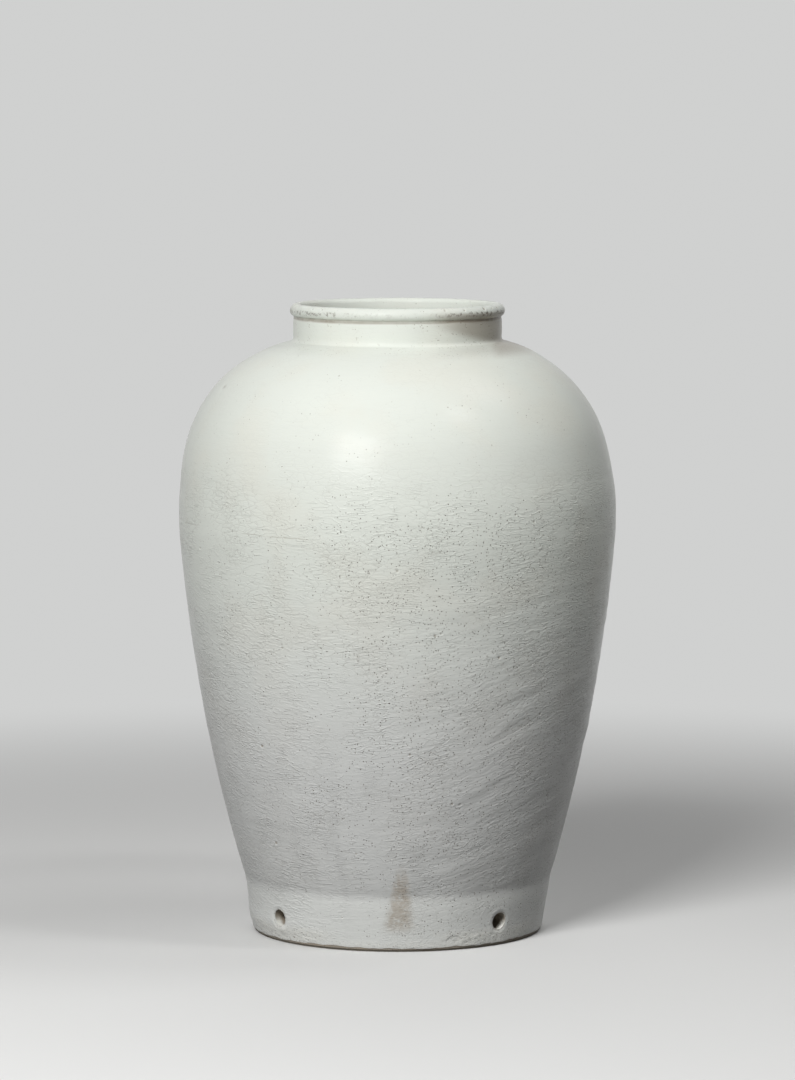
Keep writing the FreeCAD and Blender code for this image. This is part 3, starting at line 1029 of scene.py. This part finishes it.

        # worn lip, a painted shade line in the groove under it, pits, and a painted shadow of the
        # lip on the right of the neck
        outer = paint.ease(x * x + y * y, 4650, 4950)  # by squared radius, past the mouth
        toEnd = paint.ease(x, 15, 62) + 0.6 * paint.ease(0 - x, 18, 52) + 0.22
        belt = (1 - paint.ease(z.apart(435.0), 0.5, 2.4)) * outer
        chip = paint.ease(paint.noise(place, 2.8, 3, 0.7), 0.51, 0.60) * belt * toEnd
        # a painted shade line in the groove under the lip, stronger towards the ends
        groove = (1 - paint.ease(z.apart(430.5), 0.3, 1.5)) * outer
        groove = groove * paint.ease(paint.noise(place, 6, 3), 0.35, 0.62) * (0.18 + 0.50 * toEnd)
        neck = paint.ease(z, 404, 412) * outer
        # painted shadow of the lip on the right of the neck, reaching further down as the neck
        # turns away
        underLip = paint.ease(z + 0.30 * x, 431, 438)
        lipShadow = neck * paint.ease(x, 16, 52) * (1 - paint.ease(z, 434, 437))
        lipShadow = lipShadow * (underLip.larger(paint.ease(x, 62, 72)) * 0.75 + 0.25)
        peck = (1 - paint.ease(paint.cells(place, 2.1, "F1"), 0.12, 0.26)) * neck
        peck = peck * paint.ease(paint.noise(place, 8, 2) + 0.10 * paint.ease(x, 0, 40), 0.53, 0.64)
        # the lip's painted shadow
        tone = paint.mix(glazeMarks["lipShadowTint"] * lipShadow, tone, dirtAndShade)
        # painted shade in the groove
        tone = paint.mix(glazeMarks["grooveShadeTint"] * groove, tone, dirtAndShade)
        tone = paint.mix(0.55 * peck, tone, dirtAndShade)
        tone = paint.mix(glazeMarks["chipTint"] * chip, tone, glazeTones["pin"])
        height = height - glazeMarks["chipDepth"] * chip - 0.15 * peck

        # one brown stain at the foot, a narrow wedge
        spread = 4.0 + 0.20 * (62 - z)
        edge = 3.5 * (paint.noise(place, 5, 3, 0.6) - 0.5)
        stain = 1 - paint.ease((x + edge).apart(1.0 + 0.06 * (z - 20)) / spread, 0.35, 1.05)
        stain = stain * (1 - paint.ease(z, 44, 66)) * paint.ease(z, 11, 22)
        stain = stain * paint.ease(0 - y, 60, 90)  # on the front only
        stain = stain * paint.ease(paint.noise(place, 3, 3, 0.6), 0.15, 0.62)
        tone = paint.mix(glazeMarks["stainTint"] * stain, tone, glazeTones["stain"])

    # dirt and painted shade in the hollows, darker the deeper they are, and the dark pinholes
    hollowDirtAndShade = paint.ease(paint.mark("hollowDirtAndShade"), 0.25, 1.0)
    tone = paint.mix(glazeMarks["hollowDirtAndShadeTint"] * hollowDirtAndShade, tone, dirtAndShade)
    tone = paint.mix(pin * (0.62 + 0.38 * luck), tone, glazeTones["pin"])
    tone = paint.mix(bigPin * 0.85, tone, glazeTones["pin"])
    gloss = roughness + 0.06 * paint.noise(place, 18, 3) + 0.20 * pin
    return paint.finish(tone, gloss, height, glazeMarks["gleam"])


clayTones = {
    "buff": (0.480, 0.420, 0.340, 1),
    "grey": (0.400, 0.370, 0.320, 1),
    "iron": (0.130, 0.080, 0.055, 1),
    "sand": (0.640, 0.600, 0.520, 1),
}


def clayRecipe(name, pale, coarse, glazeRan):
    paint = Recipe(bpy.data.materials.new(name))
    place = paint.place()
    patch = paint.ease(paint.noise(place, 34, 4, 0.6), 0.35, 0.70)
    tone = paint.mix(patch, clayTones["buff"], clayTones["grey"])
    tone = paint.mix(pale, tone, clayTones["sand"])
    specks = 1 - paint.ease(paint.cells(place, 2.6, "F1"), 0.10, 0.20)
    iron = specks * paint.ease(paint.luck(place, 2.6), 0.45, 0.75)
    sand = (1 - paint.ease(paint.cells(place, 1.7, "F1"), 0.18, 0.32)) * coarse
    tone = paint.mix(iron * 0.8, tone, clayTones["iron"])
    tone = paint.mix(sand * 0.5, tone, clayTones["sand"])
    grit = paint.noise(place, 1.1, 4, 0.65)
    turned = paint.lumps(place, 60, 1.4)
    height = coarse * (0.14 * grit + 0.10 * sand) + 0.08 * turned - 0.05 * iron
    if glazeRan:
        # dirt and painted shade in the tie holes and under the foot, and glaze that ran into the
        # holes
        x, y, z = paint.axes(place)
        along = alongTies(x, y)
        above = paint.ease(z, 6, 9)
        ran = paint.ease(along + 3 * paint.noise(place, 4, 2), 99, 102)
        ran = ran * above * (1 - 0.9 * paint.ease(z, 13, 19))
        soiledAndShaded = paint.ease(along, 84, 90) * above
        soiledAndShaded = soiledAndShaded.larger(0.7 * (1 - paint.ease(z, 3, 5)))
        # dirt and painted shade inside the tie holes and along the bottom of the foot
        tone = paint.mix(0.65 * soiledAndShaded, tone, glazeTones["dirtAndShade"])
        tone = paint.mix(ran, tone, glazeTones["crust"])
    return paint.finish(tone, 0.82 + 0.10 * grit, height, 0.3)


def wear(piece, material):
    piece.data.materials.clear()
    piece.data.materials.append(material)


whiteGlaze = glazeRecipe("whiteCrackleGlaze", 0.0, 0.20, True)
liningGlaze = glazeRecipe("liningGlaze", 0.06, 0.34, False)
bareClay = clayRecipe("bareClay", 0.0, 1.0, False)
footClay = clayRecipe("footClay", 0.0, 1.0, True)
jointSlip = clayRecipe("jointSlip", 0.45, 0.5, False)
print("materials mixed")

clayNodes = ["foot_ring", "floor_slab", "lower_body", "upper_body", "neck_collar"]
slipNodes = ["floor_slip", "foot_slip", "belly_slip", "neck_slip"]
for name in clayNodes:
    wear(frame["nodes"][name], footClay if name == "foot_ring" else bareClay)
for name in slipNodes:
    wear(frame["nodes"][name], jointSlip)
for piece, node, slot, material in (
    (glazeCoat, "outer_glaze", "crackled_glaze", whiteGlaze),
    (glazeLining, "inner_glaze", "inner_glaze", liningGlaze),
):
    wear(piece, material)
    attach(piece, "root")
    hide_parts(node)

# studio: pale floor and backdrop, one large lamp on the left, weaker ones on the right

studio = {
    "aim": (0, 0, 0.26),
    "lamps": [
        # name, bearing from the viewer and height in degrees, distance, size, watts
        ("keyLamp", -22, 31, 2.3, 0.9, 46),
        ("sideLamp", 100, 60, 2.2, 0.7, 6.0),
        ("softLamp", 52, 56, 2.2, 0.32, 5.5),
    ],
    "floorSize": 30,
    "floorTone": (0.80, 0.80, 0.79, 1),
    "bounceTone": (0.16, 0.16, 0.16, 1),
    "backTone": (0.63, 0.635, 0.63, 1),
    "fill": 0.06,
    "backFill": 1.6,
    "backStart": 0.6,
    "backEnd": 0.98,
    "fadeStart": 0.3,
    "fadeEnd": 1.25,
}


def addLamp(name, bearing, height, distance, size, power):
    data = bpy.data.lights.new(name, "AREA")
    data.shape = "SQUARE"
    data.size = size
    data.energy = power
    lamp = bpy.data.objects.new(name, data)
    level = math.cos(math.radians(height))
    turn = math.radians(bearing)
    up = math.sin(math.radians(height))
    away = Vector((level * math.sin(turn), -level * math.cos(turn), up))
    lamp.location = Vector(studio["aim"]) + away * distance
    lamp.rotation_euler = away.to_track_quat("Z", "Y").to_euler()
    bpy.context.scene.collection.objects.link(lamp)


def addFloor():
    # lit and shaded near the jar, and running into the pale backdrop further off
    deselectAll()
    bpy.ops.mesh.primitive_plane_add(size=studio["floorSize"], location=(0, 0, 0))
    floor = bpy.context.object
    floor.name = "studioFloor"
    paint = Recipe(bpy.data.materials.new("studioFloor"))
    x, y, _ = paint.axes(paint.add("ShaderNodeTexCoord", output=3))
    fade = paint.ease(x * x + y * y, studio["fadeStart"] ** 2, studio["fadeEnd"] ** 2)
    lit = paint.add("ShaderNodeBsdfDiffuse", {}, {"Color": studio["floorTone"]})
    bounce = paint.add("ShaderNodeBsdfDiffuse", {}, {"Color": studio["bounceTone"]})
    pale = paint.add("ShaderNodeEmission", {}, {"Color": studio["backTone"]})
    seen = paint.add("ShaderNodeMixShader", {}, {0: fade, 1: lit, 2: pale})
    surface = paint.add("ShaderNodeMixShader", {}, {0: paint.backdropRays(), 1: bounce, 2: seen})
    paint.add("ShaderNodeOutputMaterial", {}, {"Surface": surface})
    wear(floor, paint.owner)


def addWorld():
    # dim light from all round, more of it from behind
    world = bpy.data.worlds.new("studioWorld")
    bpy.context.scene.world = world
    paint = Recipe(world)
    _, behind, _ = paint.axes(paint.add("ShaderNodeTexCoord"))
    back = paint.ease(behind, studio["backStart"], studio["backEnd"])
    strength = studio["fill"] + studio["backFill"] * back
    dim = paint.add("ShaderNodeBackground", {}, {"Color": (1, 1, 1, 1), "Strength": strength})
    pale = paint.add("ShaderNodeBackground", {}, {"Color": studio["backTone"]})
    surface = paint.add("ShaderNodeMixShader", {}, {0: paint.backdropRays(), 1: dim, 2: pale})
    paint.add("ShaderNodeOutputWorld", {}, {"Surface": surface})


for lamp in studio["lamps"]:
    addLamp(*lamp)
addFloor()
addWorld()
bpy.context.scene.view_settings.view_transform = "Standard"
print("studio lit")
